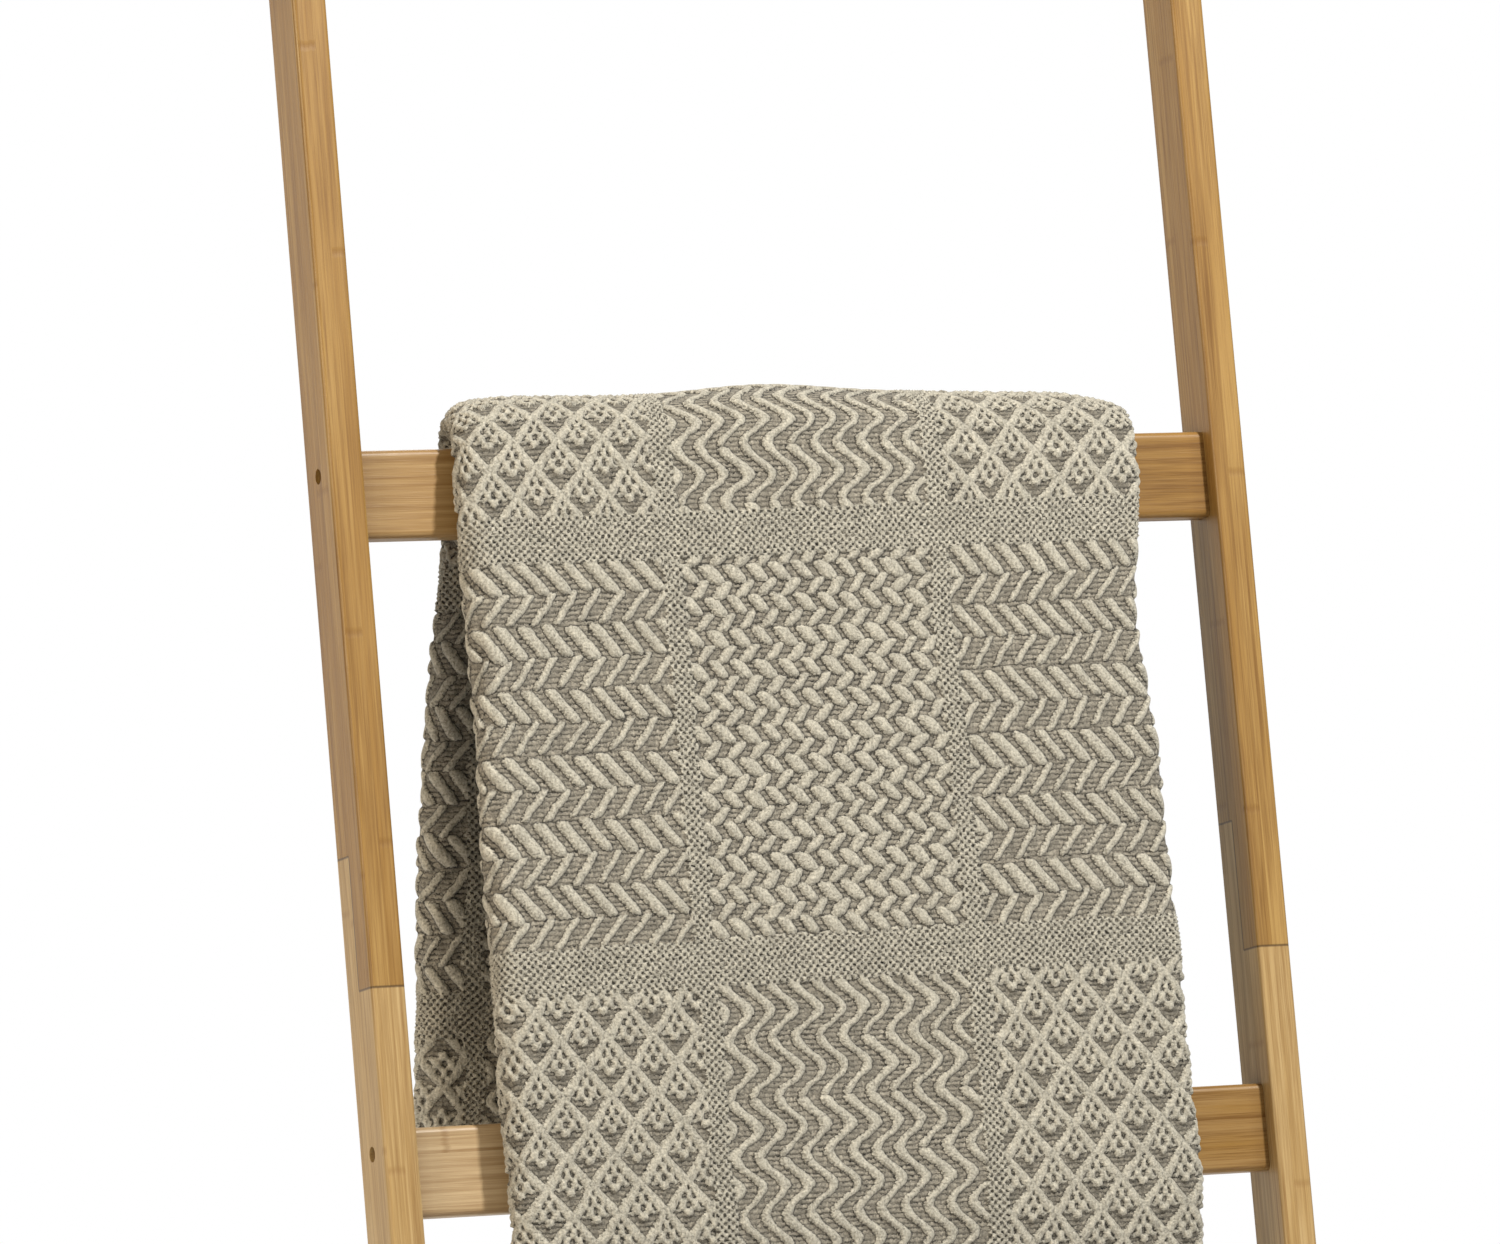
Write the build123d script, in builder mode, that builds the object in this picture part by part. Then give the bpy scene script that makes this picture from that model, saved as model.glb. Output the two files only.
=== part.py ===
from build123d import *
import os
from math import cos, pi, radians, sin, tan

# A two-piece bamboo ladder rack that leans on a wall, with a woven throw folded over its third rung.
# Millimetres, +Z up. X runs along the rungs, the face of the ladder looks towards -Y, and its top
# leans towards +Y, where the wall is. The origin is on the floor under the middle of the object.

# Ladder
overall_width = 450
lean_deg = 12.5
stile_length = 1500
stile_width = 16
stile_depth = 32
stile_edge_radius = 2
stile_end_chamfer = 1.5
rung_count = 4
rung_pitch = 303
first_rung = 335
rung_height = 40
rung_thickness = 14
rung_edge_radius = 3

# Half-lap joint in the middle of each stile, bolted from the back
lap_length = 60
lap_bolt_spacing = 30
bolt_radius = 2.5
bolt_head_radius = 4.2
bolt_head_height = 2.8
bolt_socket_width = 3
bolt_socket_depth = 1.7
bolt_clearance_radius = 2.7
bolt_sink_radius = 4.5
bolt_sink_depth = 4
insert_radius = 3.5
insert_length = 12
bolt_reach = 10

# Rung fixings: one sunk screw above the rung's centre line and one hidden dowel below it
fixing_offset = 9.5
screw_sink_radius = 3.5
screw_sink_depth = 8
screw_head_radius = 3.3
screw_head_height = 3
screw_socket_width = 2.5
screw_socket_depth = 1.8
screw_shank_radius = 2
screw_reach = 26
dowel_radius = 3
dowel_depth_in_stile = 10
dowel_depth_in_rung = 14

# Pads on the feet and where the top rests on the wall
foot_pad_size = (14, 30)
foot_pad_thickness = 3
wall_facet_length = 45
wall_pad_size = (14, 38)
wall_pad_thickness = 3
pad_corner_radius = 2

# Folded throw
throw_width = 340
throw_thickness = 24
throw_length = 900
throw_rung = 3
throw_clearance = 0.7
throw_back_drop = 295
throw_rest_below_rung = 20
throw_swing_radius = 100
throw_edge_radius = 9

# Directions of the leaning ladder
lean = radians(lean_deg)
up_ladder = (0, sin(lean), cos(lean))
towards_wall = (0, cos(lean), -sin(lean))
half_depth = stile_depth / 2
half_width = overall_width / 2
inner_half_width = half_width - stile_width
sides = {"left": -1, "right": 1}

# The foot line is set so that the object is centred front to back over the origin.
foot_front = -half_depth / cos(lean)
wall_plane = (stile_length - wall_facet_length) * sin(lean) + half_depth * cos(lean)
foot_y = -(foot_front + wall_plane + wall_pad_thickness) / 2
foot_z = foot_pad_thickness

rung_heights = [first_rung + i * rung_pitch for i in range(rung_count)]
lap_low = (stile_length - lap_length) / 2
lap_high = (stile_length + lap_length) / 2
lap_bolts = [stile_length / 2 - lap_bolt_spacing / 2, stile_length / 2 + lap_bolt_spacing / 2]

pieces = {}


def side_plane(x):
    """Plane across the ladder at x: local X towards the wall, local Y up the ladder, normal +X."""
    return Plane(origin=(x, foot_y, foot_z), x_dir=towards_wall, z_dir=(1, 0, 0))


def depth_plane(x, depth):
    """Plane parallel to the ladder's face, at a depth behind its middle: local Y up, normal to the wall."""
    origin = side_plane(x).from_local_coords((depth, 0, 0))
    return Plane(origin=origin, x_dir=(-1, 0, 0), z_dir=towards_wall)


def at_height(height, depth=0):
    """Y and Z of a point at a height along the ladder and a depth behind its middle."""
    point = side_plane(0).from_local_coords((depth, height, 0))
    return point.Y, point.Z


def long_edges(stile):
    """The four outer long edges of a stile, without the sharp ones of its lap."""
    along = stile.edges().filter_by(Axis((0, 0, 0), up_ladder))
    plane = side_plane(0)
    return [e for e in along if abs(abs(plane.to_local_coords(e.center()).X) - half_depth) < 0.01]


def spots(plane, heights, radius):
    """Equal circles on a plane, one at each height up the ladder."""
    with BuildSketch(plane) as marks:
        with Locations([(0, h) for h in heights]):
            Circle(radius)
    return marks.sketch


def sockets(plane, heights, width):
    """Hexagonal key sockets on a plane, one at each height up the ladder."""
    with BuildSketch(plane) as marks:
        with Locations([(0, h) for h in heights]):
            RegularPolygon(width / 2, 6, major_radius=False)
    return marks.sketch


# Stiles
for side_name, side in sides.items():
    low_x = min(side * half_width, side * inner_half_width)
    middle_x = side * (half_width - stile_width / 2)
    outer = side_plane(side * half_width)
    inner = side_plane(side * inner_half_width)
    lap_face = depth_plane(middle_x, 0)
    back_face = depth_plane(middle_x, half_depth)
    upper_heights = [h for h in rung_heights if h > lap_high]
    lower_heights = [h for h in rung_heights if h < lap_low]

    with BuildPart() as upper_stile:
        with BuildSketch(side_plane(low_x)):
            with BuildLine():
                Polyline(
                    (-half_depth, lap_low),
                    (0, lap_low),
                    (0, lap_high),
                    (half_depth, lap_high),
                    (half_depth, stile_length - wall_facet_length),
                    (half_depth - wall_facet_length * tan(lean), stile_length),
                    (-half_depth, stile_length),
                    close=True,
                )
            make_face()
        extrude(amount=stile_width)
        fillet(long_edges(upper_stile), radius=stile_edge_radius)
        top = upper_stile.faces().sort_by(Axis((0, 0, 0), up_ladder))[-1]
        chamfer(top.edges(), length=stile_end_chamfer)
        screw_heights = [h + fixing_offset for h in upper_heights]
        dowel_heights = [h - fixing_offset for h in upper_heights]
        extrude(spots(outer, screw_heights, screw_sink_radius), -side * screw_sink_depth, mode=Mode.SUBTRACT)
        extrude(spots(outer, screw_heights, screw_shank_radius), -side * stile_width, mode=Mode.SUBTRACT)
        extrude(spots(inner, dowel_heights, dowel_radius), side * dowel_depth_in_stile, mode=Mode.SUBTRACT)
        extrude(spots(lap_face, lap_bolts, insert_radius), -insert_length, mode=Mode.SUBTRACT)
    pieces[f"upper_stile_{side_name}"] = upper_stile

    with BuildPart() as lower_stile:
        with BuildSketch(side_plane(low_x)):
            with BuildLine():
                Polyline(
                    (-half_depth, -half_depth * tan(lean)),
                    (half_depth, half_depth * tan(lean)),
                    (half_depth, lap_high),
                    (0, lap_high),
                    (0, lap_low),
                    (-half_depth, lap_low),
                    close=True,
                )
            make_face()
        extrude(amount=stile_width)
        fillet(long_edges(lower_stile), radius=stile_edge_radius)
        screw_heights = [h + fixing_offset for h in lower_heights]
        dowel_heights = [h - fixing_offset for h in lower_heights]
        extrude(spots(outer, screw_heights, screw_sink_radius), -side * screw_sink_depth, mode=Mode.SUBTRACT)
        extrude(spots(outer, screw_heights, screw_shank_radius), -side * stile_width, mode=Mode.SUBTRACT)
        extrude(spots(inner, dowel_heights, dowel_radius), side * dowel_depth_in_stile, mode=Mode.SUBTRACT)
        extrude(spots(back_face, lap_bolts, bolt_sink_radius), -bolt_sink_depth, mode=Mode.SUBTRACT)
        extrude(spots(back_face, lap_bolts, bolt_clearance_radius), -half_depth, mode=Mode.SUBTRACT)
    pieces[f"lower_stile_{side_name}"] = lower_stile

    with BuildPart() as lap_bolt_pair:
        seat = depth_plane(middle_x, half_depth - bolt_sink_depth)
        extrude(spots(seat, lap_bolts, bolt_head_radius), bolt_head_height)
        extrude(spots(seat, lap_bolts, bolt_radius), -(half_depth - bolt_sink_depth + bolt_reach))
        head_top = seat.offset(bolt_head_height)
        extrude(sockets(head_top, lap_bolts, bolt_socket_width), -bolt_socket_depth, mode=Mode.SUBTRACT)
    pieces[f"lap_bolts_{side_name}"] = lap_bolt_pair

    with BuildPart() as lap_insert_pair:
        extrude(spots(lap_face, lap_bolts, insert_radius), -insert_length)
        extrude(spots(lap_face, lap_bolts, bolt_radius), -insert_length, mode=Mode.SUBTRACT)
    pieces[f"lap_inserts_{side_name}"] = lap_insert_pair

    with BuildPart() as foot_pad:
        with BuildSketch(Plane.XY):
            with Locations((middle_x, foot_y)):
                RectangleRounded(*foot_pad_size, pad_corner_radius)
        extrude(amount=foot_pad_thickness)
    pieces[f"foot_pad_{side_name}"] = foot_pad

    with BuildPart() as wall_pad:
        facet_low_z = at_height(stile_length - wall_facet_length, half_depth)[1]
        facet_middle_z = facet_low_z + wall_facet_length / cos(lean) / 2
        facet_middle = (middle_x, foot_y + wall_plane, facet_middle_z)
        with BuildSketch(Plane(origin=facet_middle, x_dir=(-1, 0, 0), z_dir=(0, 1, 0))):
            RectangleRounded(*wall_pad_size, pad_corner_radius)
        extrude(amount=wall_pad_thickness)
    pieces[f"wall_pad_{side_name}"] = wall_pad

# Rungs and what fixes them
for number, height in enumerate(rung_heights, start=1):
    screw_height = [height + fixing_offset]
    dowel_height = [height - fixing_offset]

    with BuildPart() as rung:
        with BuildSketch(side_plane(-inner_half_width)):
            with Locations((0, height)):
                RectangleRounded(rung_thickness, rung_height, rung_edge_radius)
        extrude(amount=2 * inner_half_width)
        for side in sides.values():
            end = side_plane(side * inner_half_width)
            extrude(spots(end, screw_height, screw_shank_radius), -side * screw_reach, mode=Mode.SUBTRACT)
            extrude(spots(end, dowel_height, dowel_radius), -side * dowel_depth_in_rung, mode=Mode.SUBTRACT)
    pieces[f"rung_{number}"] = rung

    with BuildPart() as screw_pair:
        for side in sides.values():
            seat = side_plane(side * (half_width - screw_sink_depth))
            shank_length = stile_width - screw_sink_depth + screw_reach
            extrude(spots(seat, screw_height, screw_head_radius), side * screw_head_height)
            extrude(spots(seat, screw_height, screw_shank_radius), -side * shank_length)
            head_top = seat.offset(side * screw_head_height)
            extrude(
                sockets(head_top, screw_height, screw_socket_width),
                -side * screw_socket_depth,
                mode=Mode.SUBTRACT,
            )
    pieces[f"rung_{number}_screws"] = screw_pair

    with BuildPart() as dowel_pair:
        for side in sides.values():
            deep_end = side_plane(side * (inner_half_width + dowel_depth_in_stile))
            dowel_length = dowel_depth_in_stile + dowel_depth_in_rung
            extrude(spots(deep_end, dowel_height, dowel_radius), -side * dowel_length)
    pieces[f"rung_{number}_dowels"] = dowel_pair

# Folded throw: the middle line of its stack of layers, from the back hem over the rung to the front
throw_height = rung_heights[throw_rung - 1]
rest_height = rung_heights[throw_rung - 2]
half_stack = throw_thickness / 2
wrap_radius = rung_thickness / 2 + throw_clearance + half_stack
wrap_height = throw_height + rung_height / 2 - rung_edge_radius
wrap_y, wrap_z = at_height(wrap_height)
back_y = wrap_y + wrap_radius
back_hem_z = at_height(throw_height)[1] - throw_back_drop
leave_height = rest_height - throw_rest_below_rung
wrap_turn = pi - lean
front_used = wrap_z - back_hem_z + wrap_turn * wrap_radius + wrap_height - leave_height
tail_length = throw_length - front_used - throw_swing_radius * lean

swing_y, swing_z = at_height(leave_height, throw_swing_radius - wrap_radius)
tail_y = swing_y - throw_swing_radius

with BuildPart() as folded_throw:
    with BuildSketch(Plane(origin=(-throw_width / 2, 0, 0), x_dir=(0, 1, 0), z_dir=(1, 0, 0))):
        with BuildLine():
            Line((back_y, back_hem_z), (back_y, wrap_z))
            CenterArc((wrap_y, wrap_z), wrap_radius, 0, 180 - lean_deg)
            Line(at_height(wrap_height, -wrap_radius), at_height(leave_height, -wrap_radius))
            CenterArc((swing_y, swing_z), throw_swing_radius, 180 - lean_deg, lean_deg)
            Line((tail_y, swing_z), (tail_y, swing_z - tail_length))
        trace(line_width=throw_thickness)
    extrude(amount=throw_width)
    ends = folded_throw.faces().filter_by(Axis.X)
    fillet(ends.edges(), radius=throw_edge_radius)
pieces["folded_throw"] = folded_throw

os.makedirs("parts", exist_ok=True)
for name, piece in pieces.items():
    piece.part.label = name
    export_step(piece.part, f"parts/{name}.step")

print("folded throw: front drop below its rung", round(throw_height - leave_height + tail_length, 1))
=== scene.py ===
import math

import bpy
import numpy as np
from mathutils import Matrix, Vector


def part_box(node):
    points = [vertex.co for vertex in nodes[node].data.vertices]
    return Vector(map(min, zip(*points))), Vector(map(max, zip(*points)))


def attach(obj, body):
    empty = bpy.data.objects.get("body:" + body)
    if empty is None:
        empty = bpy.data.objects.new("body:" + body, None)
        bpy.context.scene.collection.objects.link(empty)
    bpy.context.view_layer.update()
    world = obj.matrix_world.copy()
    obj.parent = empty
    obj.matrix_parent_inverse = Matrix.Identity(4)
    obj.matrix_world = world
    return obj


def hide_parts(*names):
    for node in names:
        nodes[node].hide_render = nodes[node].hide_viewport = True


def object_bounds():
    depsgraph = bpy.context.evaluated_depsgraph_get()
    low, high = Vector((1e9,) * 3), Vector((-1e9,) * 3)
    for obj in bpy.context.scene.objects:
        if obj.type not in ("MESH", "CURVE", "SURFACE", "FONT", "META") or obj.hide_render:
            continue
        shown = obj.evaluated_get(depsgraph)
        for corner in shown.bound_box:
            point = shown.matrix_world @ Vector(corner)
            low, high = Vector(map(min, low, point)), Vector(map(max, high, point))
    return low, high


# A woven cotton throw folded over the third rung of a bamboo ladder. The ladder is the CAD model with
# bamboo materials, and the throw is one sheet of cloth, folded and draped here over the CAD rungs.
# Metres, +Z up, the ladder's face towards -Y, except that the weave and the bamboo's grain are laid out
# in millimetres.

MM_PER_M = 1000

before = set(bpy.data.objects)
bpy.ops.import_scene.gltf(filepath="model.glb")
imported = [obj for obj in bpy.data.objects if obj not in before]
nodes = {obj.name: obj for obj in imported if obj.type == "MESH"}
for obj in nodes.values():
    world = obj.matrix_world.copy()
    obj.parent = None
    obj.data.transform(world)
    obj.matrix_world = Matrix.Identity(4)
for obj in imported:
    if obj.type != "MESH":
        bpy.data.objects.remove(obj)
cad_low, cad_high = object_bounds()


def centre_of(node):
    low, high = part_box(node)
    return (low + high) / 2


rung_middle = centre_of("rung_3")
ladder_run = centre_of("rung_4") - centre_of("rung_1")
LEAN = math.atan2(ladder_run.y, ladder_run.z)

# The folded throw: eight plies, one ply thickness apart, over a rung of this height and edge radius.
# Its length is measured along its middle line.
PLY = 0.003
RUNG_HALF_HEIGHT = 0.020
RUNG_EDGE_RADIUS = 0.003
FLAT_SIZE = (1.40, 1.80)
THROW_LENGTH = FLAT_SIZE[1] / 2
HALF_WIDTH = 0.170

# Its middle line turns round the rung at WRAP_RADIUS. In front it rests on rung 2 down to
# REST_BELOW_RUNG under that rung's middle, and then swings to hang straight down.
WRAP_RADIUS = 0.0197
REST_BELOW_RUNG = 0.020
SWING_RADIUS = 0.100

# The weave, in millimetres on the flat cloth: columns and rows of blocks, each with a plain band at its
# end, woven a little askew from the folds. In each next row the figures lie ROW_SLIP further down.
COLUMN = 133.0
ROW = 193.5
COLUMN_BAND = 10.0
ROW_BAND = 21.0
ROW_SLIP = 3.5
ASKEW = 0.014
YARN_PITCH = 2.3

# The blocks in which the figures' places are given: an outer and a middle column, and the row with
# chevrons and baskets above the row with diamonds and zigzags
OUTER_COLUMN = 8
MIDDLE_COLUMN = 9
CHEVRON_ROW = 5
DIAMOND_ROW = 6

# Where the slab's middle and the end of the turn round the rung lie on the weave
MIDDLE_PAST_COLUMN = 66.9
WRAP_END_ABOVE_ROW = 53.7


# ---------------------------------------------------------------- numbers that work in arrays and materials

class Flow:
    """A number inside a material. Arithmetic on it adds math nodes."""

    def __init__(self, tree, socket):
        self.tree = tree
        self.socket = socket

    def node(self, kind, values):
        made = self.tree.nodes.new("ShaderNodeMath")
        made.operation = kind
        for slot, value in zip(made.inputs, values):
            if isinstance(value, Flow):
                self.tree.links.new(value.socket, slot)
            else:
                slot.default_value = float(value)
        return Flow(self.tree, made.outputs[0])

    def __add__(self, other):
        return self.node("ADD", (self, other))

    def __radd__(self, other):
        return self.node("ADD", (other, self))

    def __sub__(self, other):
        return self.node("SUBTRACT", (self, other))

    def __rsub__(self, other):
        return self.node("SUBTRACT", (other, self))

    def __mul__(self, other):
        return self.node("MULTIPLY", (self, other))

    def __rmul__(self, other):
        return self.node("MULTIPLY", (other, self))

    def __truediv__(self, other):
        return self.node("DIVIDE", (self, other))

ON_ARRAYS = {
    "FLOOR": np.floor,
    "FRACT": lambda x: x - np.floor(x),
    "ABSOLUTE": np.abs,
    "SINE": np.sin,
    "SQRT": np.sqrt,
    "MINIMUM": np.minimum,
    "MAXIMUM": np.maximum,
    "GREATER_THAN": lambda x, y: np.where(x > y, 1.0, 0.0),
}


def maths(kind, *values):
    """One of the operations above, on arrays or inside a material."""
    flows = [v for v in values if isinstance(v, Flow)]
    if flows:
        return flows[0].node(kind, values)
    return ON_ARRAYS[kind](*values)


def floor(x):
    return maths("FLOOR", x)


def fract(x):
    return maths("FRACT", x)


def size_of(x):
    return maths("ABSOLUTE", x)


def above(x, limit):
    return maths("GREATER_THAN", x, limit)


def positive_root(x):
    return maths("SQRT", maths("MAXIMUM", x, 0.0))


def wave(turns):
    return maths("SINE", turns * (2 * math.pi))


def ramp(low, high, x):
    """0 below low, 1 above high, straight between."""
    return maths("MINIMUM", maths("MAXIMUM", (x - low) / (high - low), 0.0), 1.0)


def pick(choice, when_off, when_on):
    return when_off + (when_on - when_off) * choice


# ---------------------------------------------------------------- the weave's figures
# Each figure is 1 along the crest of a cream float and 0 at its edge. It falls to GROUND, the grey beside
# the floats, across a gap that the material darkens with painted shade. DARK_CHECK and BOAT are darker
# greys.

GROUND = -0.6
DARK_CHECK = -0.7
BOAT = -0.95


def scatter(i, j):
    """A number from 0 to 1 that looks random, for whole numbers i and j."""
    return fract(wave(i * 0.1618 + j * 0.2357) * 6.3)


def strokes(x, y, pitch, period, length, wide, slope, curl, blunt):
    """Slanting cream floats side by side, one pitch apart, in rows one period apart. One starts at
    x = 0, y = 0. The length and wide are those of an average float. They lean sideways by slope, less at
    both ends and more between with more curl, and blunt ones stay wide nearly to their ends."""
    row = floor(y / period)
    down = y - row * period
    sideways = (down - wave(down / length) * (length * curl / 2 / math.pi)) * slope
    place_across = (x - sideways) / pitch + 0.5
    column = floor(place_across)
    uneven = scatter(column, row)
    across = (place_across - column - 0.5) * (2 * pitch / wide) * (uneven * 0.3 + 0.87)
    end = down * (2 / length) - 1 + (uneven - 0.5) * 0.25
    end = end * end
    end = end * end
    if blunt:
        end = end * end
    return 1 - across * across - end


def crossed(first, second):
    """Two sets of floats with a crease where they meet, on the ground."""
    crease = maths("MAXIMUM", maths("MINIMUM", first, second), 0.0)
    return maths("MAXIMUM", maths("MAXIMUM", first, second) - crease, GROUND)


def checks(x, y, wide, tall, level):
    """Cream and dark checks, each wide by tall."""
    return maths("MAXIMUM", wave(x / (2 * wide)) * wave(y / (2 * tall)) * 1.2 + level, DARK_CHECK)


def chevrons(u, v):
    left = OUTER_COLUMN * COLUMN
    top = CHEVRON_ROW * ROW
    wide_floats = strokes(u - (left + 75.0), v - (top + 30.6), pitch=11.38, period=29.3, length=15.8,
                          wide=7.0, slope=0.72, curl=0.25, blunt=True)
    thin_floats = strokes(u - (left + 91.0), v - (top + 45.2), pitch=11.38, period=29.3, length=14.6,
                          wide=4.6, slope=-0.75, curl=0.15, blunt=True)
    return crossed(wide_floats, thin_floats)


def zigzags(u, v):
    left = MIDDLE_COLUMN * COLUMN
    top = DIAMOND_ROW * ROW
    down_right = strokes(u - (left + 2.3), v - (top - 1.8), pitch=11.4, period=26.2, length=15.2,
                         wide=6.2, slope=0.76, curl=0.75, blunt=True)
    down_left = strokes(u - (left + 13.8), v - (top + 11.2), pitch=11.4, period=26.2, length=14.4,
                        wide=5.2, slope=-0.84, curl=0.75, blunt=True)
    return maths("MAXIMUM", maths("MAXIMUM", down_right, down_left), GROUND)


def basket(u, v):
    left = MIDDLE_COLUMN * COLUMN
    top = CHEVRON_ROW * ROW
    down_right = strokes(u - (left + 11.4), v - (top + 6.4), pitch=11.2, period=14.6, length=9.2,
                         wide=7.6, slope=0.62, curl=0.2, blunt=False)
    down_left = strokes(u - (left + 22.0), v - (top + 14.1), pitch=11.2, period=14.6, length=8.6,
                        wide=6.4, slope=-0.70, curl=0.2, blunt=False)
    return crossed(down_right, down_left)


def diamonds(u, v):
    """Fish scales: a cream roof over a fan of short stitches, above a grey boat shape."""
    scale_wide = 22.25
    scale_tall = 26.2
    x = (u - (OUTER_COLUMN * COLUMN + 66.0)) / scale_wide
    y = (v - (DIAMOND_ROW * ROW + 3.6)) / scale_tall
    # a and b go from 0 at a scale's two upper edges to 1 at its two lower ones
    a = fract(x + y)
    b = 1 - fract(x - y)
    side = size_of(a - b) * 11.1
    down = (a + b) * 13.1
    edge = maths("MINIMUM", a, b) / (size_of(a - b) * 0.075 + 0.095) - 1
    edge = edge * edge
    twist = size_of(wave(side / 4.6))
    roof = (1 - edge * edge) * (0.5 + twist * 0.5)
    stitches = checks(side * 17 / (down + 4) + 1.4, down + 1.0, wide=2.8, tall=4.2, level=0.50)
    boat_top = 19.3
    boat = above(down + side * 0.5, boat_top)
    eaves = ramp(0.90, 0.97, maths("MAXIMUM", a, b))
    inside = pick(boat, stitches, BOAT * (1 - eaves * 0.6))
    return maths("MAXIMUM", roof, inside)


def figure(u, v):
    """The weave's figure at a place on the flat cloth: figures alternate over the blocks."""
    column = floor(u / COLUMN)
    row = floor(v / ROW)
    odd_column = above(fract(column / 2), 0.25)
    odd_row = above(fract(row / 2), 0.25)
    slipped = v + (DIAMOND_ROW - row) * ROW_SLIP
    on_even_row = pick(odd_column, diamonds(u, slipped), zigzags(u, slipped))
    on_odd_row = pick(odd_column, chevrons(u, slipped), basket(u, slipped))
    block = pick(odd_row, on_even_row, on_odd_row)
    from_left = u - column * COLUMN
    from_top = v - row * ROW
    plain = maths("MAXIMUM", above(from_left, COLUMN - COLUMN_BAND), above(from_top, ROW - ROW_BAND))
    return pick(plain, block, checks(u, v, wide=1.75, tall=1.8, level=0.55))


# The share of the yarns' drift across the cloth that they have along it
DRIFT_ALONG = 0.6


def drift(u, v):
    """Slow bends of the yarns, in millimetres."""
    return wave(u / 47 + v / 83) * 0.4 + wave(v / 39 - u / 71 + 0.3) * 0.35 + wave(u / 13 - v / 17) * 0.2


# ---------------------------------------------------------------- the throw's path over the rungs

def bump(x, middle, width):
    """1 at the middle, falling smoothly to 0 on both sides."""
    return np.exp(-((x - middle) / width) ** 2)


def running_sum(parts):
    """The sum before each part."""
    return np.concatenate(([0], np.cumsum(parts[:-1])))


# The outermost ply's level, in ply thicknesses from the middle line
OUTER_LEVEL = 3.5


class Course:
    """The folded throw's middle line in the YZ plane, from its back end over the rung to its front end."""

    def __init__(self):
        up = Vector((0, math.sin(LEAN), math.cos(LEAN)))
        wrap_centre = rung_middle + up * (RUNG_HALF_HEIGHT - RUNG_EDGE_RADIUS)
        turn = math.pi - LEAN
        rest_end = centre_of("rung_2") - up * REST_BELOW_RUNG
        tail_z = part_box("folded_throw")[0].z
        front = (wrap_centre - rest_end).dot(up)
        swing = SWING_RADIUS * LEAN
        rest_z = wrap_centre.z + WRAP_RADIUS * math.sin(turn) - front * math.cos(LEAN)
        tail = rest_z - SWING_RADIUS * math.sin(LEAN) - tail_z
        back = THROW_LENGTH - WRAP_RADIUS * turn - front - swing - tail
        self.wrap_start = back
        self.wrap_end = back + WRAP_RADIUS * turn
        swing_start = self.wrap_end + front
        swing_end = swing_start + swing
        step = 0.0005
        self.station = np.arange(0, THROW_LENGTH + step, step)
        in_wrap = (self.station > back) & (self.station < self.wrap_end)
        in_swing = (self.station > swing_start) & (self.station < swing_end)
        curve = np.where(in_wrap, 1 / WRAP_RADIUS, 0.0) + np.where(in_swing, 1 / SWING_RADIUS, 0.0)
        self.heading = math.pi / 2 + running_sum(curve * step)
        self.y = wrap_centre.y + WRAP_RADIUS + running_sum(np.cos(self.heading) * step)
        self.z = wrap_centre.z - back + running_sum(np.sin(self.heading) * step)
        # the outermost ply is longer where it goes round the outside of a bend
        self.outer = running_sum((1 + curve * (OUTER_LEVEL * PLY)) * step)

    def at(self, station):
        """Y and Z of the middle line at a station, and of the direction out of the slab there."""
        y = np.interp(station, self.station, self.y)
        z = np.interp(station, self.station, self.z)
        heading = np.interp(station, self.station, self.heading)
        over = np.maximum(station - THROW_LENGTH, 0)
        under = np.minimum(station, 0)
        y = y + np.cos(heading) * (over + under)
        z = z + np.sin(heading) * (over + under)
        return y, z, np.sin(heading), -np.cos(heading)


course = Course()
OUTER_LENGTH = course.outer[-1]
WRAP_END_ON_CLOTH = np.interp(course.wrap_end, course.station, course.outer)

# The sheet is folded into four widths A, B, C and D side by side. These are the levels of its plies in
# half 1 (the outside half of the sheet) and half 2, in ply thicknesses from the middle line.
LEVELS_1 = (-OUTER_LEVEL, OUTER_LEVEL, 0.5, -0.5)
LEVELS_2 = (-2.5, 2.5, 1.5, -1.5)

# x of the centres of the turns between the widths, and of the selvedges at the two free edges
LEFT_CENTRE = -HALF_WIDTH + 3.7 * PLY
RIGHT_CENTRE = HALF_WIDTH - 3.5 * PLY
SELVEDGE_A = 0.1612
SELVEDGE_D = 0.1575

# u, from one selvedge to the other: where each width starts after its turn, and where it ends
LEFT_TURN = math.pi * 3.5 * PLY
RIGHT_TURN = math.pi * 1.5 * PLY
INNER_TURN = math.pi * 0.5 * PLY
U_LEFT = SELVEDGE_A - LEFT_CENTRE
U_B = U_LEFT + LEFT_TURN
U_RIGHT = U_B + RIGHT_CENTRE - LEFT_CENTRE
U_C = U_RIGHT + RIGHT_TURN
U_INNER = U_C + RIGHT_CENTRE - LEFT_CENTRE
U_D = U_INNER + INNER_TURN
U_END = U_D + SELVEDGE_D - LEFT_CENTRE

# v, from the hem of half 1 at the back end, over the rung to the fold between the halves at the front
# end, and back to the hem of half 2
FOLD_TURN = math.pi * 0.5 * PLY
V_FOLD = OUTER_LENGTH
V_HALF_2 = V_FOLD + FOLD_TURN
V_END = V_HALF_2 + OUTER_LENGTH

# How far the fold between the halves stands out past the front end, and how far the back end swings
# away from the ladder
FOLD_NOSE = 0.6 * PLY
BACK_SWING = 0.004


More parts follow.
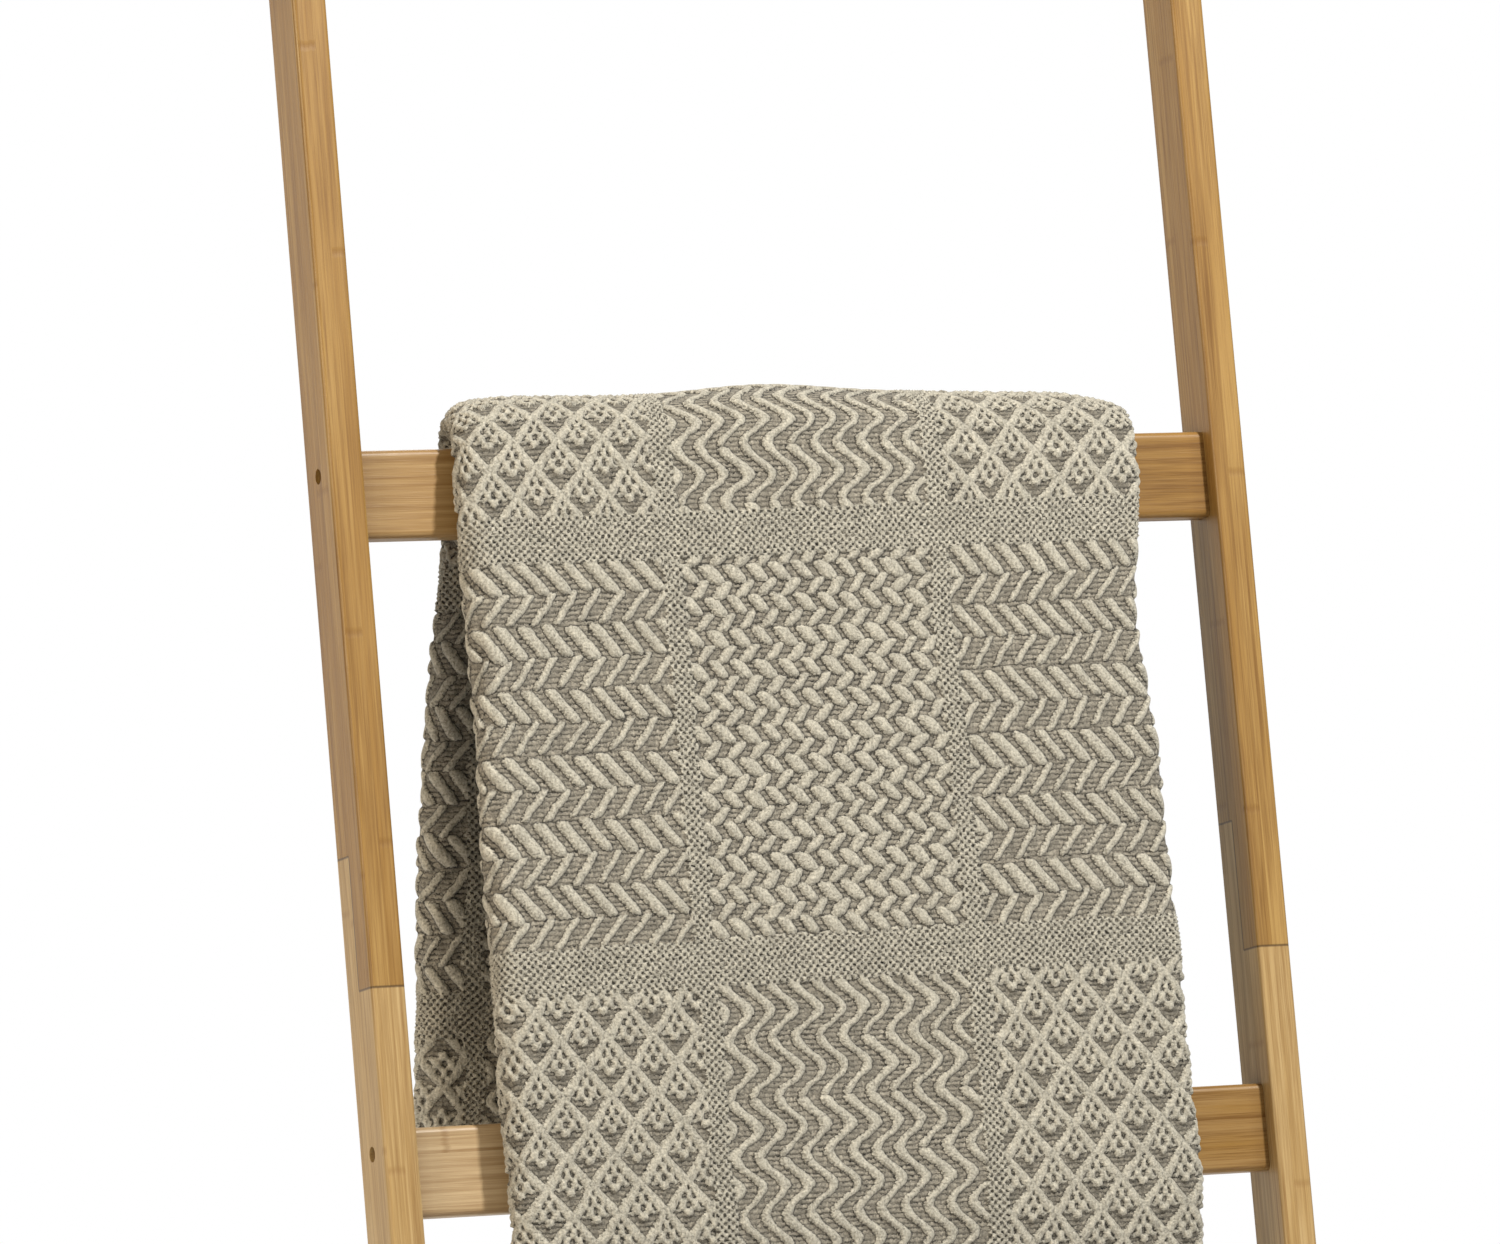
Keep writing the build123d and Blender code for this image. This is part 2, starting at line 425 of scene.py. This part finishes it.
def cross_section(u, share):
    """x and level (in ply thicknesses) of the sheet at u. share is 1 on half 1 and 0 on half 2.
    Past the selvedges the sheet is carried on by 1 m, so that differences can be taken at them."""
    a, b, c, d = (one * share + two * (1 - share) for one, two in zip(LEVELS_1, LEVELS_2))
    x = np.zeros_like(u)
    level = np.zeros_like(u)

    def flat(start, end, x_start, x_end, height):
        here = (u >= start) & (u <= end)
        part = (u - start) / (end - start)
        x[here] = (x_start + (x_end - x_start) * part)[here]
        level[here] = height[here]

    def turn(start, end, x_centre, before, after, side):
        here = (u > start) & (u < end)
        angle = (u - start) / (end - start) * math.pi
        radius = (after - before) / 2
        x[here] = (x_centre + side * np.abs(radius) * PLY * np.sin(angle))[here]
        level[here] = ((before + after) / 2 - radius * np.cos(angle))[here]

    flat(-1, 0, SELVEDGE_A + 1, SELVEDGE_A, a)
    flat(0, U_LEFT, SELVEDGE_A, LEFT_CENTRE, a)
    turn(U_LEFT, U_B, LEFT_CENTRE, a, b, -1)
    flat(U_B, U_RIGHT, LEFT_CENTRE, RIGHT_CENTRE, b)
    turn(U_RIGHT, U_C, RIGHT_CENTRE, b, c, 1)
    flat(U_C, U_INNER, RIGHT_CENTRE, LEFT_CENTRE, c)
    turn(U_INNER, U_D, LEFT_CENTRE, c, d, -1)
    flat(U_D, U_END, LEFT_CENTRE, SELVEDGE_D, d)
    flat(U_END, U_END + 1, SELVEDGE_D, SELVEDGE_D + 1, d)
    return x, level


def pulled_in(station):
    """How far the stack's left and right edges lie inside its full width. The left edge goes in most
    just behind the rung, both go in a little below it in front, and the right edge bulges over it."""
    left_waist = course.wrap_start - 0.02
    left_spread = np.where(station < left_waist, 0.098, 0.065)
    left = 0.0125 * bump(station, left_waist, left_spread)
    left = left + 0.002 * bump(station, course.wrap_end + 0.10, 0.08)
    right = 0.001 + 0.0055 * bump(station, course.wrap_end + 0.092, 0.045)
    right = right - 0.006 * bump(station, course.wrap_end - 0.02, 0.045)
    return left, right


def sunk(x, station):
    """How far the outermost ply sinks into the stack: over the rung most away from a hump left of the
    middle, and at the stack's corners, with a slow wave all over."""
    over_rung = bump(station, (course.wrap_start + course.wrap_end) / 2, 0.038)
    corner = np.clip((np.abs(x) - 0.128) / 0.042, 0, 1) ** 2
    beside_hump = 0.0020 + 0.0042 * (1 - bump(x, -0.012, 0.042)) * (1 + 1.2 * x)
    sink = over_rung * (beside_hump + 0.006 * corner * (1 + 0.25 * np.sign(x)))
    sink = sink + (1 - over_rung) * 0.0012 * corner
    return sink - 0.0011 * np.sin(x * 23 + station * 11 + 0.6) * np.sin(station * 17 - x * 9)


def place(u, v):
    """Where the folded sheet's point (u, v) lies."""
    angle = np.clip((v - V_FOLD) / FOLD_TURN, 0, 1) * math.pi
    share = (1 + np.cos(angle)) / 2
    along = np.where(v <= V_FOLD, v, np.where(v >= V_HALF_2, V_END - v, V_FOLD))
    station = np.interp(along, course.outer, course.station) + np.minimum(along, 0)
    station = station + FOLD_NOSE * np.sin(angle)
    x, level = cross_section(u, share)

    left_in, right_in = pulled_in(station)
    wander = 0.0006 * np.sin(station * 61 + level * 0.9) + 0.0004 * np.sin(station * 139 + level * 1.7)
    edge = x / HALF_WIDTH
    x = x + np.clip(-edge, 0, 1) * left_in - np.clip(edge, 0, 1) * right_in + wander * edge

    # the innermost ply stays in place, and the others sink more the further out they are
    outward = (level + OUTER_LEVEL) / (2 * OUTER_LEVEL)
    depth = level * PLY - sunk(x, station) * outward

    y, z, out_y, out_z = course.at(station)
    back_part = np.clip((course.wrap_start - station) / course.wrap_start, 0, 1)
    y = y + BACK_SWING * back_part ** 2
    return np.stack([x, y + depth * out_y, z + depth * out_z], axis=-1)


# ---------------------------------------------------------------- the throw's mesh

# Sizes of the mesh's faces: with woven relief, on the ply against the rungs, beside the turn inside the
# stack, where half 2 goes round the rung, near free edges, and where no edge or turn is near
FINE = 0.00105
MIDDLING = 0.0021
BESIDE_TURN = 0.002
ROUND_RUNG = 0.005
NEAR_EDGE = 0.004
COARSE = 0.018

# The relief's height, and how far it goes on past the right-hand turn, onto the ply inside it
RELIEF = 0.0015
RELIEF_INSIDE = 0.012

HEM = 0.009
HEM_RADIUS = 0.0008


def steps(start, end, size):
    """Places about one size apart, from the start up to but without the end."""
    return np.linspace(start, end, max(2, round((end - start) / size) + 1))[:-1]


def hem():
    """Positions and depths of a turned-in hem beside the sheet's edge, from its inner end to the edge."""
    back = [(position, 2 * HEM_RADIUS) for position in (HEM, HEM * 0.5, HEM_RADIUS)]
    angles = [math.radians(a) for a in (150, 120, 90, 60, 30)]
    nose = [(HEM_RADIUS * (1 - math.sin(a)), HEM_RADIUS * (1 - math.cos(a))) for a in angles]
    return back + nose


def with_hems(lines, end):
    """Grid lines with a turned hem before the first and after the last: positions and depths."""
    turned = hem()
    flat = [(line, 0.0) for line in lines if HEM_RADIUS < line < end - HEM_RADIUS]
    grid = turned + flat + [(end - position, depth) for position, depth in reversed(turned)]
    positions, depths = zip(*grid)
    return np.array(positions), np.array(depths)


def throw_grid():
    """The mesh's lines across and along the sheet, close together where the cloth shows or turns."""
    u_lines = np.concatenate([
        steps(0, U_LEFT, MIDDLING),
        steps(U_LEFT, U_RIGHT, FINE),
        steps(U_RIGHT, U_C, FINE / 2),
        steps(U_C, U_C + RELIEF_INSIDE, FINE),
        steps(U_C + RELIEF_INSIDE, U_INNER - NEAR_EDGE, COARSE),
        steps(U_INNER - NEAR_EDGE, U_INNER, BESIDE_TURN),
        steps(U_INNER, U_D, INNER_TURN / 6),
        steps(U_D, U_D + NEAR_EDGE, BESIDE_TURN),
        steps(U_D + NEAR_EDGE, U_END - 5 * NEAR_EDGE, COARSE),
        steps(U_END - 5 * NEAR_EDGE, U_END, NEAR_EDGE),
    ])
    wrap_start, wrap_end = np.interp([course.wrap_start, course.wrap_end], course.station, course.outer)
    v_lines = np.concatenate([
        steps(0, V_FOLD, FINE),
        steps(V_FOLD, V_HALF_2, FOLD_TURN / 8),
        steps(V_HALF_2, V_END - wrap_end, COARSE),
        steps(V_END - wrap_end, V_END - wrap_start, ROUND_RUNG),
        steps(V_END - wrap_start, V_END - 3 * NEAR_EDGE, COARSE),
        steps(V_END - 3 * NEAR_EDGE, V_END, NEAR_EDGE),
    ])
    return with_hems(u_lines, U_END), with_hems(v_lines, V_END)


def cloth_millimetres(u, v):
    """The place on the woven pattern, laid so that its plain bands fall where they do on the real slab."""
    across = (u - U_B + LEFT_CENTRE) * MM_PER_M + MIDDLE_PAST_COLUMN + MIDDLE_COLUMN * COLUMN
    down = (v - WRAP_END_ON_CLOTH) * MM_PER_M - WRAP_END_ABOVE_ROW + CHEVRON_ROW * ROW
    return across, down + (across - (MIDDLE_COLUMN + 0.5) * COLUMN) * ASKEW


def make_throw():
    """The folded sheet as a grid mesh, which keeps each point's place on the weave as an attribute."""
    (u_at, u_depth), (v_at, v_depth) = throw_grid()
    u, v = np.meshgrid(u_at, v_at)
    depth = np.maximum(*np.meshgrid(u_depth, v_depth))
    nudge = 0.0003
    along_u = place(u + nudge, v) - place(u - nudge, v)
    along_v = place(u, v + nudge) - place(u, v - nudge)
    normal = np.cross(along_v, along_u)
    normal /= np.linalg.norm(normal, axis=-1, keepdims=True)

    mm_u, mm_v = cloth_millimetres(u, v)
    bent = drift(mm_u, mm_v)
    height = positive_root(figure(mm_u + bent, mm_v + bent * DRIFT_ALONG))
    shows_across = np.clip((U_C + RELIEF_INSIDE - u) / (RELIEF_INSIDE / 2), 0, 1)
    fade_length = 0.002
    shows_along = np.clip((V_HALF_2 - v) / fade_length, 0, 1)
    lift = (height - 0.5) * RELIEF * (shows_across * shows_along * (depth == 0))
    points = place(u, v) + normal * (lift - depth)[..., None]

    rows, columns = u.shape
    index = np.arange(rows * columns).reshape(rows, columns)
    corners = [index[:-1, :-1], index[1:, :-1], index[1:, 1:], index[:-1, 1:]]
    faces = np.stack(corners, axis=-1).reshape(-1, 4)
    mesh = bpy.data.meshes.new("jacquard_throw")
    mesh.vertices.add(rows * columns)
    mesh.vertices.foreach_set("co", points.astype(np.float32).ravel())
    mesh.loops.add(faces.size)
    mesh.loops.foreach_set("vertex_index", faces.astype(np.int32).ravel())
    mesh.polygons.add(len(faces))
    mesh.polygons.foreach_set("loop_start", np.arange(0, faces.size, 4, dtype=np.int32))
    mesh.update(calc_edges=True)
    mesh.validate()
    mesh.polygons.foreach_set("use_smooth", np.ones(len(faces), dtype=bool))
    cloth = mesh.attributes.new("cloth", "FLOAT_VECTOR", "POINT")
    place_on_cloth = np.stack([mm_u, mm_v, np.zeros_like(mm_u)], axis=-1)
    cloth.data.foreach_set("vector", place_on_cloth.astype(np.float32).ravel())
    throw = bpy.data.objects.new("jacquard_throw", mesh)
    bpy.context.scene.collection.objects.link(throw)
    return throw


# ---------------------------------------------------------------- materials

def new_material(name, roughness):
    material = bpy.data.materials.new(name)
    material.use_nodes = True
    tree = material.node_tree
    shader = tree.nodes["Principled BSDF"]
    shader.inputs["Roughness"].default_value = roughness
    return material, tree, shader


def parts_of(tree, place_socket):
    split = tree.nodes.new("ShaderNodeSeparateXYZ")
    tree.links.new(place_socket, split.inputs[0])
    return [Flow(tree, output) for output in split.outputs]


def vector(tree, x, y, z=0.0):
    node = tree.nodes.new("ShaderNodeCombineXYZ")
    for slot, value in zip(node.inputs, (x, y, z)):
        if isinstance(value, Flow):
            tree.links.new(value.socket, slot)
        else:
            slot.default_value = value
    return node.outputs[0]


def noise(tree, place_socket, scale, detail, rough):
    node = tree.nodes.new("ShaderNodeTexNoise")
    node.inputs["Scale"].default_value = scale
    node.inputs["Detail"].default_value = detail
    node.inputs["Roughness"].default_value = rough
    tree.links.new(place_socket, node.inputs["Vector"])
    return Flow(tree, node.outputs[0])


def random_of(tree, place_socket):
    node = tree.nodes.new("ShaderNodeTexWhiteNoise")
    node.noise_dimensions = "3D"
    tree.links.new(place_socket, node.inputs["Vector"])
    return Flow(tree, node.outputs[0])


def mixed(tree, share, first, second, kind="MIX"):
    """A colour between two, or with MULTIPLY their product. Each is a socket or three numbers."""
    node = tree.nodes.new("ShaderNodeMix")
    node.data_type = "RGBA"
    node.blend_type = kind
    # a mix node also has inputs and outputs for numbers and vectors: 6, 7 and 2 are those for colours
    for slot, value in ((node.inputs[0], share), (node.inputs[6], first), (node.inputs[7], second)):
        if isinstance(value, Flow):
            tree.links.new(value.socket, slot)
        elif isinstance(value, bpy.types.NodeSocket):
            tree.links.new(value, slot)
        elif isinstance(value, tuple):
            slot.default_value = (*value, 1.0)
        else:
            slot.default_value = value
    return node.outputs[2]


def bump_from(tree, shader, height, distance, strength=1.0):
    node = tree.nodes.new("ShaderNodeBump")
    node.inputs["Distance"].default_value = distance
    node.inputs["Strength"].default_value = strength
    tree.links.new(height.socket, node.inputs["Height"])
    tree.links.new(node.outputs["Normal"], shader.inputs["Normal"])


# How far fibres stray from the figures and how long the ground's dashes are, in millimetres
STRAY = 2.8
DASH_LENGTH = 5.3

GROUND_COLOUR = (0.288, 0.260, 0.205)
CREAM_COLOUR = (0.474, 0.441, 0.356)


def throw_cotton():
    """Cream cotton floats over a grey-brown ground with ribs across it."""
    material, tree, shader = new_material("throw_cotton", 0.92)
    attribute = tree.nodes.new("ShaderNodeAttribute")
    attribute.attribute_name = "cloth"
    u, v, _ = parts_of(tree, attribute.outputs["Vector"])
    fibre = noise(tree, vector(tree, u, v), 0.85, 3.0, 0.6)
    other_fibre = noise(tree, vector(tree, u, v, 37.0), 0.85, 3.0, 0.6)
    patchy = noise(tree, vector(tree, u, v), 0.10, 2.0, 0.5)
    bent = drift(u, v)
    u = u + bent + (fibre - 0.5) * STRAY
    v = v + bent * DRIFT_ALONG + (other_fibre - 0.5) * STRAY
    crest = figure(u, v)
    cream = ramp(-0.10, 0.20, crest)
    # painted shade in the gap just outside each float's edge
    gap = 1 - ramp(0.0, 0.34, size_of(crest + 0.24))
    shaded = ramp(-0.7, -1.2, crest)

    # the ground: ribs broken into dashes with painted shade between them, and a few cream yarns that show
    # through
    rib = v / YARN_PITCH
    rib_number = floor(rib)
    dash = u / DASH_LENGTH + scatter(rib_number, 1.0)
    dash_tone = random_of(tree, vector(tree, floor(dash), rib_number))
    valley = ramp(0.22, 0.44, size_of(rib - rib_number - 0.5))
    tick = random_of(tree, vector(tree, floor(u / 1.1), rib_number, 5.0))
    # painted shade darkens the valleys between ribs; the bump sinks them as well
    ground = 0.93 + ramp(0.80, 0.86, tick) * 0.30 - valley * dash_tone * 0.85 + (dash_tone - 0.5) * 0.2
    ground = ground + (other_fibre - 0.5) * 1.6

    # the floats, and dark specks of painted shade between fibres all over
    yarn_tone = random_of(tree, vector(tree, floor(u / 1.3), floor(v / 2.6), 11.0))
    float_tone = 0.92 + (yarn_tone - 0.5) * 0.24 + (fibre - 0.5) * 1.7
    speck = ramp(0.56, 0.68, noise(tree, vector(tree, u * 1.2, v * 0.8, 71.0), 1.0, 2.0, 0.5))
    level = pick(cream, ground, float_tone)
    # painted shade: the gap beside the floats and the specks between fibres darken the colour
    level = level * (1 - gap * 0.76) * (1 - shaded * 0.5) * (1 - speck * 0.46)
    level = level * (0.99 + (patchy - 0.5) * 0.3)
    grey = vector(tree, level, level, level)
    colour = mixed(tree, cream, GROUND_COLOUR, CREAM_COLOUR)
    colour = mixed(tree, 1.0, colour, grey, "MULTIPLY")
    tree.links.new(colour, shader.inputs["Base Color"])
    shader.inputs["Specular IOR Level"].default_value = 0.15
    shader.inputs["Sheen Weight"].default_value = 0.08
    shader.inputs["Sheen Roughness"].default_value = 0.6
    rounded = positive_root(maths("MINIMUM", crest + 0.3, 1.0))
    bump_from(tree, shader, rounded + fibre * 0.7 - valley * (1 - cream) * 0.35, 0.0010)
    return material


# Laminated bamboo, in millimetres: the sizes of its glued strips and layers, and of the stretches
# between the knuckles along each strip. Strips are counted from a place to the left of rung 3's middle
# (on rungs, below it) and layers from one in front of it, both well outside the ladder.
STILE_STRIP = 8.0
RUNG_STRIP = 21.0
LAYER = 16.0
STRIPS_FROM = 400.0
LAYERS_FROM = 700.0
KNUCKLE_PITCH = 265.0

# How far from the middle a rung's tint changes, from a painted sheen at its left end to its richer colour,
# and where painted shade darkens its ends, next to the stiles
SHEEN_REACH = 190.0
SHADE_START = 200.0
RUNG_END = 209.0


def ladder_millimetres(tree):
    """x, y and z in millimetres from rung 3's middle, with z up along the leaning stiles."""
    coordinates = tree.nodes.new("ShaderNodeTexCoord")
    from_rung = tree.nodes.new("ShaderNodeVectorMath")
    from_rung.operation = "SUBTRACT"
    from_rung.inputs[1].default_value = rung_middle
    tree.links.new(coordinates.outputs["Object"], from_rung.inputs[0])
    turned = tree.nodes.new("ShaderNodeMapping")
    turned.vector_type = "POINT"
    turned.inputs["Rotation"].default_value = (LEAN, 0, 0)
    turned.inputs["Scale"].default_value = (MM_PER_M, MM_PER_M, MM_PER_M)
    tree.links.new(from_rung.outputs[0], turned.inputs["Vector"])
    return parts_of(tree, turned.outputs[0])


def darker(colour, shares):
    return tuple(part * share for part, share in zip(colour, shares))


def bamboo(name, tint, seed, is_rung):
    """Strips with fine fibres along them, knuckles across them, under satin lacquer. A stile's tint
    varies between the two colours, and a rung's goes from the first at its left end, which is a painted
    sheen, to the second."""
    material, tree, shader = new_material(name, 0.42)
    x, y, z = ladder_millimetres(tree)
    along, across, strip_width = (x, z, RUNG_STRIP) if is_rung else (z, x, STILE_STRIP)
    strip = floor((across + STRIPS_FROM) / strip_width) + floor((y + LAYERS_FROM) / LAYER) * 7
    strip_tone = random_of(tree, vector(tree, strip, seed))
    shifted = along + strip_tone * 900 + seed * 31

    def grain(across_rate, along_rate, detail, rough):
        """Noise drawn out along the wood. A higher rate makes it finer in that direction."""
        spot = vector(tree, across * across_rate, y * across_rate, shifted * along_rate)
        return noise(tree, spot, 1.0, detail, rough)

    fibres = grain(0.75, 0.012, 3.0, 0.6)
    fine = grain(2.4, 0.05, 2.0, 0.5)
    bands = grain(0.26, 0.007, 2.0, 0.5)
    patch = grain(0.10, 0.010, 2.0, 0.5)
    knuckle_place = fract(shifted / KNUCKLE_PITCH)
    knuckle = ramp(0.0090, 0.0020, size_of(knuckle_place - 0.5 + (fibres - 0.5) * 0.014))
    pale, rich = tint
    blend = ramp(0.36, 0.66, patch * 0.6 + strip_tone * 0.2 + fibres * 0.3)
    # painted sheen: on rungs the tint goes from pale at the left end to rich at the right, and the streaks
    # are weaker under it
    if is_rung:
        blend = ramp(-SHEEN_REACH, SHEEN_REACH, x) * 0.8 + blend * 0.2
    base = mixed(tree, blend, pale, rich)
    streaks = (fine - 0.5) * 1.1 + (fibres - 0.5) * 1.7 + (bands - 0.5) * 1.8
    if is_rung:
        streaks = streaks * (0.45 + blend * 1.1)
    base = mixed(tree, streaks + 0.30, base, darker(rich, (0.60, 0.52, 0.42)))
    base = mixed(tree, knuckle * 0.32, base, darker(rich, (0.55, 0.42, 0.30)))
    # painted shade at a rung's ends, where it meets the stiles
    if is_rung:
        base = mixed(tree, ramp(SHADE_START, RUNG_END, size_of(x)) * 0.3, base, (0.10, 0.045, 0.012))
    else:
        # painted shade along the half-lap joint's thin gap
        base = mixed(tree, lap_line(z, y) * 0.75, base, (0.05, 0.025, 0.008))
    tree.links.new(base, shader.inputs["Base Color"])
    rough = 0.34 + fine * 0.16
    tree.links.new(rough.socket, shader.inputs["Roughness"])
    shader.inputs["Specular IOR Level"].default_value = 0.4
    bump_from(tree, shader, fine * 0.5 + fibres * 0.5 - knuckle * 0.5, 0.00025, 0.6)
    return material


def lap_line(height, depth):
    """1 where painted shade marks the half-lap joint's gap: across its front, down its middle, across its
    back.
    """
    half = (LAP_HIGH - LAP_LOW) / 2
    too_far = 50
    beside = size_of(depth) + above(size_of(height - (LAP_LOW + half)), half) * too_far
    front = size_of(height - LAP_LOW) + above(depth, 0.0) * too_far
    rear = size_of(height - LAP_HIGH) + above(0.0, depth) * too_far
    return ramp(0.75, 0.25, maths("MINIMUM", beside, maths("MINIMUM", front, rear)))


def metal(name, colour, roughness):
    material, tree, shader = new_material(name, roughness)
    coordinates = tree.nodes.new("ShaderNodeTexCoord")
    brushed = noise(tree, coordinates.outputs["Object"], 3000, 3.0, 0.6)
    shader.inputs["Metallic"].default_value = 1.0
    shade = darker(colour, (0.7, 0.7, 0.7))
    tree.links.new(mixed(tree, brushed, colour, shade), shader.inputs["Base Color"])
    tree.links.new((brushed * 0.25 + roughness - 0.1).socket, shader.inputs["Roughness"])
    bump_from(tree, shader, brushed, 0.00005, 0.5)
    return material


def matt(name, colour, dark, scale, roughness, relief):
    material, tree, shader = new_material(name, roughness)
    coordinates = tree.nodes.new("ShaderNodeTexCoord")
    speckle = noise(tree, coordinates.outputs["Object"], scale, 4.0, 0.65)
    tree.links.new(mixed(tree, ramp(0.35, 0.65, speckle), colour, dark), shader.inputs["Base Color"])
    shader.inputs["Specular IOR Level"].default_value = 0.25
    bump_from(tree, shader, speckle, relief, 0.8)
    return material


def paint(material, *names):
    for name in names:
        mesh = nodes[name].data
        mesh.materials.clear()
        mesh.materials.append(material)


# Pale and rich colours of each bamboo piece. On rungs the pale one is a painted sheen, strongest on rung 2.
UPPER_TINT = ((0.395, 0.240, 0.074), (0.300, 0.162, 0.038))
LOWER_TINT = ((0.510, 0.360, 0.170), (0.420, 0.270, 0.103))
RUNG_TINT = ((0.400, 0.255, 0.104), (0.290, 0.150, 0.031))
SHEEN_RUNG_TINT = ((0.540, 0.400, 0.228), (0.295, 0.152, 0.028))

# Where the half-lap joints start and end, in millimetres up the ladder from rung 3
LAP_LOW = (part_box("upper_stile_left")[0].z - rung_middle.z) / math.cos(LEAN) * MM_PER_M
LAP_HIGH = (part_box("lower_stile_left")[1].z - rung_middle.z) / math.cos(LEAN) * MM_PER_M


def paint_ladder():
    """Gives each bamboo piece its own material, so that no two have the same grain."""
    stile_names = [n for n in nodes if "stile" in n]
    for number, name in enumerate(sorted(stile_names)):
        tint = UPPER_TINT if "upper" in name else LOWER_TINT
        paint(bamboo("bamboo_" + name, tint, seed=3.0 + number * 17, is_rung=False), name)
    for number in range(1, 5):
        name = f"rung_{number}"
        tint = SHEEN_RUNG_TINT if number == 2 else RUNG_TINT
        paint(bamboo("bamboo_" + name, tint, seed=101.0 + number * 13, is_rung=True), name)
    steel = metal("screw_steel", (0.36, 0.34, 0.31), 0.38)
    paint(steel, *[n for n in nodes if "screws" in n or "bolts" in n])
    paint(metal("insert_brass", (0.70, 0.50, 0.22), 0.35), *[n for n in nodes if "inserts" in n])
    beech = matt("dowel_beech", (0.60, 0.43, 0.26), (0.48, 0.32, 0.18), 900, 0.7, 0.0001)
    paint(beech, *[n for n in nodes if "dowels" in n])
    rubber = matt("pad_rubber", (0.035, 0.035, 0.036), (0.02, 0.02, 0.02), 1500, 0.75, 0.0001)
    paint(rubber, *[n for n in nodes if "foot_pad" in n])
    felt = matt("pad_felt", (0.34, 0.28, 0.21), (0.20, 0.16, 0.12), 2200, 0.95, 0.0004)
    paint(felt, *[n for n in nodes if "wall_pad" in n])


# ---------------------------------------------------------------- studio

# Angles are in degrees: something at azimuth 0 looks along +Y, and at a positive one it is on the +X side.
# AIM_FROM_RUNG goes from rung 3's middle to the place that the camera looks at.
CAMERA_AZIMUTH = -22.97
CAMERA_ELEVATION = 4.17
CAMERA_DISTANCE = 4.3465
CAMERA_LENS = 226.5
AIM_FROM_RUNG = Vector((0.0075, 0.0583, -0.0659))
FLOOR_RADIUS = 3.0


def aim(thing, target, azimuth, elevation, distance):
    """Puts a camera or a light at these angles and this distance from the target, facing it."""
    turn = math.radians(azimuth)
    rise = math.radians(elevation)
    flat = math.cos(rise)
    back = Vector((math.sin(turn) * flat, -math.cos(turn) * flat, math.sin(rise)))
    thing.location = target + back * distance
    thing.rotation_mode = "QUATERNION"
    thing.rotation_quaternion = (-back).to_track_quat("-Z", "Y")


def make_camera():
    camera = bpy.data.objects.new("camera", bpy.data.cameras.new("camera"))
    bpy.context.scene.collection.objects.link(camera)
    camera.data.lens = CAMERA_LENS
    camera.data.sensor_width = 36
    camera.data.clip_start = 0.1
    camera.data.clip_end = 60
    aim(camera, rung_middle + AIM_FROM_RUNG, CAMERA_AZIMUTH, CAMERA_ELEVATION, CAMERA_DISTANCE)
    bpy.context.scene.camera = camera


def area_light(name, azimuth, elevation, distance, size, watts, colour):
    light = bpy.data.objects.new(name, bpy.data.lights.new(name, "AREA"))
    bpy.context.scene.collection.objects.link(light)
    light.data.shape = "DISK"
    light.data.size = size
    light.data.energy = watts
    light.data.color = colour
    light.visible_camera = False
    aim(light, rung_middle, azimuth, elevation, distance)


def make_world():
    """White to the camera, and a softer white as light."""
    world = bpy.data.worlds.new("studio")
    bpy.context.scene.world = world
    world.use_nodes = True
    tree = world.node_tree
    background = tree.nodes["Background"]
    background.inputs["Color"].default_value = (0.97, 0.98, 1.0, 1.0)
    background.inputs["Strength"].default_value = 0.30
    white = tree.nodes.new("ShaderNodeBackground")
    white.inputs["Color"].default_value = (1.0, 1.0, 1.0, 1.0)
    white.inputs["Strength"].default_value = 1.0
    path = tree.nodes.new("ShaderNodeLightPath")
    choose = tree.nodes.new("ShaderNodeMixShader")
    tree.links.new(path.outputs["Is Camera Ray"], choose.inputs[0])
    tree.links.new(background.outputs[0], choose.inputs[1])
    tree.links.new(white.outputs[0], choose.inputs[2])
    tree.links.new(choose.outputs[0], tree.nodes["World Output"].inputs["Surface"])


def make_floor():
    bpy.ops.mesh.primitive_circle_add(vertices=128, radius=FLOOR_RADIUS, fill_type="NGON",
                                      location=(0, 0, cad_low.z))
    floor_disc = bpy.context.object
    floor_disc.name = "studio_floor"
    paper = matt("studio_floor", (0.80, 0.80, 0.79), (0.78, 0.78, 0.77), 40, 0.8, 0.0001)
    floor_disc.data.materials.append(paper)


bpy.context.scene.view_settings.view_transform = "Standard"
make_camera()
make_world()
make_floor()
area_light("key", 26, 50, distance=2.6, size=0.25, watts=88, colour=(1.0, 0.985, 0.96))
area_light("fill", -70, 18, distance=3.0, size=1.4, watts=48, colour=(1.0, 0.87, 0.70))
area_light("back", 170, 35, distance=3.0, size=1.8, watts=32, colour=(1.0, 1.0, 1.0))
area_light("sweep", -157, 3, distance=3.4, size=2.6, watts=15, colour=(1.0, 0.94, 0.82))

paint_ladder()
throw = make_throw()
throw.data.materials.append(throw_cotton())
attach(throw, "throw")
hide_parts("folded_throw")
